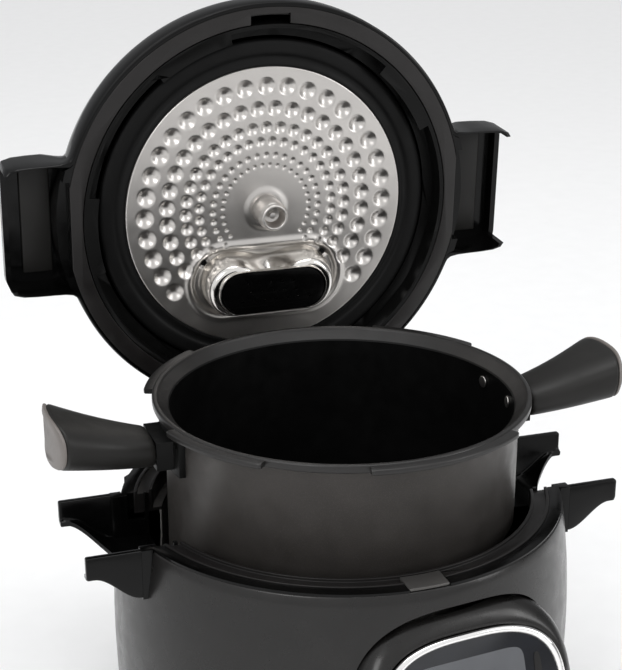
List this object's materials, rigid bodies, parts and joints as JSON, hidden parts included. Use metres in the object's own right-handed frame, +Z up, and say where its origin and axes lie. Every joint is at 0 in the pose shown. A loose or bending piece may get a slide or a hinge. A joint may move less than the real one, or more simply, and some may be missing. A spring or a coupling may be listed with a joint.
{
  "type": "electric pressure cooker",
  "caption": "Round electric pressure cooker with its hinged lid standing open, a lift-out two-handled cooking pot and an angled oval control panel.",
  "frame": {"origin": "on the worktop under the axis of the cooking pot", "axes": "+Z up; the control panel faces -Y and the lid's hinge is at +Y; +X is to the right seen from the panel"},
  "size_m": [0.3858, 0.4406, 0.5026],
  "materials": {
    "shell_grey": "dark metallic lacquer, satin",
    "gloss_black": "glossy black moulded plastic",
    "satin_black": "fine matt black plastic",
    "rail_grey": "satin dark grey",
    "chrome": "polished",
    "glass_black": "gloss glass",
    "screen": "unlit display",
    "circuit": "circuit board",
    "steel": "brushed",
    "aluminium_cast": "machined casting",
    "pot_coat": "dark non-stick coating with fine metallic fleck",
    "grip_grey": "warm dark grey thermoset",
    "cap_grey": "light warm grey",
    "silicone": "satin silicone",
    "brass_pin": "bright",
    "red_pin": "red",
    "foot_rubber": "matt"
  },
  "bodies": {
    "base": {"base_shell": "shell_grey", "top_collar": "gloss_black", "rail_ring": "rail_grey", "front_tab": "rail_grey", "inner_liner": "aluminium_cast", "well_floor": "aluminium_cast", "heating_plate": "aluminium_cast", "heating_element": "steel", "sensor_spring": "steel", "sensor_cup": "steel", "bottom_cover": "satin_black", "feet": "foot_rubber", "bottom_screws": "steel", "panel_pod": "shell_grey", "panel_bezel": "chrome", "panel_glass": "glass_black", "display_screen": "screen", "control_board": "circuit", "power_board": "circuit", "rear_plate": "satin_black", "inlet_socket": "satin_black", "inlet_pins": "brass_pin", "switch_frame": "satin_black", "cup_holder": "satin_black", "hinge_bracket": "satin_black", "hinge_pin": "steel"},
    "sensor": {"sensor_plunger": "aluminium_cast"},
    "power_switch": {"switch_rocker": "gloss_black"},
    "collector": {"condensate_cup": "satin_black"},
    "lid": {"lid_shell": "gloss_black", "lid_trim_ring": "rail_grey", "lid_core": "satin_black", "lid_stud": "steel", "steam_vent": "satin_black", "ear_pads": "grip_grey"},
    "lock": {"lock_ring": "satin_black", "lock_spindle": "satin_black", "lock_handle": "gloss_black"},
    "inner_lid": {"sub_lid": "steel", "lid_seal": "silicone"},
    "inner_lid_nut": {"sub_lid_nut": "steel"},
    "valve_guard": {"valve_cover": "steel", "valve_cap": "gloss_black"},
    "release_valve": {"silent_valve": "steel"},
    "float_pin": {"pressure_pin": "red_pin"},
    "pot": {"pot_body": "pot_coat", "pot_brackets": "satin_black", "pot_rivets": "steel", "grip_left": "grip_grey", "grip_right": "grip_grey", "grip_cap_left": "cap_grey", "grip_cap_right": "cap_grey"}
  },
  "joints": [
    {"name": "lid_hinge", "type": "hinge", "parent": "base", "child": "lid", "pos_m": [0, 0.154, 0.2], "axis": [-1, 0, 0], "range_deg": [-87, 0]},
    {"name": "pot_lift", "type": "slide", "parent": "base", "child": "pot", "axis": [0, 0, 1], "range_m": [-0.0635, 0]},
    {"name": "sensor_travel", "type": "slide", "parent": "base", "child": "sensor", "axis": [0, 0, 1], "range_m": [-0.004, 0], "deforming": ["sensor_spring"]},
    {"name": "lock_turn", "type": "hinge", "parent": "lid", "child": "lock", "pos_m": [0, 0.16242, 0.35465], "axis": [0, 0.9986, 0.0523], "range_deg": [-34, 0]},
    {"name": "inner_lid_pull", "type": "slide", "parent": "lid", "child": "inner_lid", "axis": [0, -0.9986, -0.0523], "range_m": [0, 0.024]},
    {"name": "nut_turn", "type": "hinge", "parent": "inner_lid", "child": "inner_lid_nut", "pos_m": [0, 0.16242, 0.35465], "axis": [0, -0.9986, -0.0523], "continuous": true},
    {"name": "valve_guard_pull", "type": "slide", "parent": "inner_lid", "child": "valve_guard", "axis": [0, 0.9986, 0.0523], "range_m": [-0.014, 0]},
    {"name": "release_valve_lift", "type": "slide", "parent": "lid", "child": "release_valve", "axis": [0, 0.9986, 0.0523], "range_m": [0, 0.003]},
    {"name": "float_pin_rise", "type": "slide", "parent": "lid", "child": "float_pin", "axis": [0, 0.9986, 0.0523], "range_m": [0, 0.005]},
    {"name": "power_switch_rock", "type": "hinge", "parent": "base", "child": "power_switch", "pos_m": [0.026, 0.137, 0.05], "axis": [1, 0, 0], "range_deg": [-14, 0]},
    {"name": "collector_slide", "type": "slide", "parent": "base", "child": "collector", "axis": [0, 0, 1], "range_m": [0, 0.015]}
  ],
  "couplings": [
    {"joint": "pot_lift", "follows": "lid_hinge", "m_per_rad": 0.0418},
    {"joint": "sensor_travel", "follows": "lid_hinge", "m_per_rad": 0.0026}
  ]
}
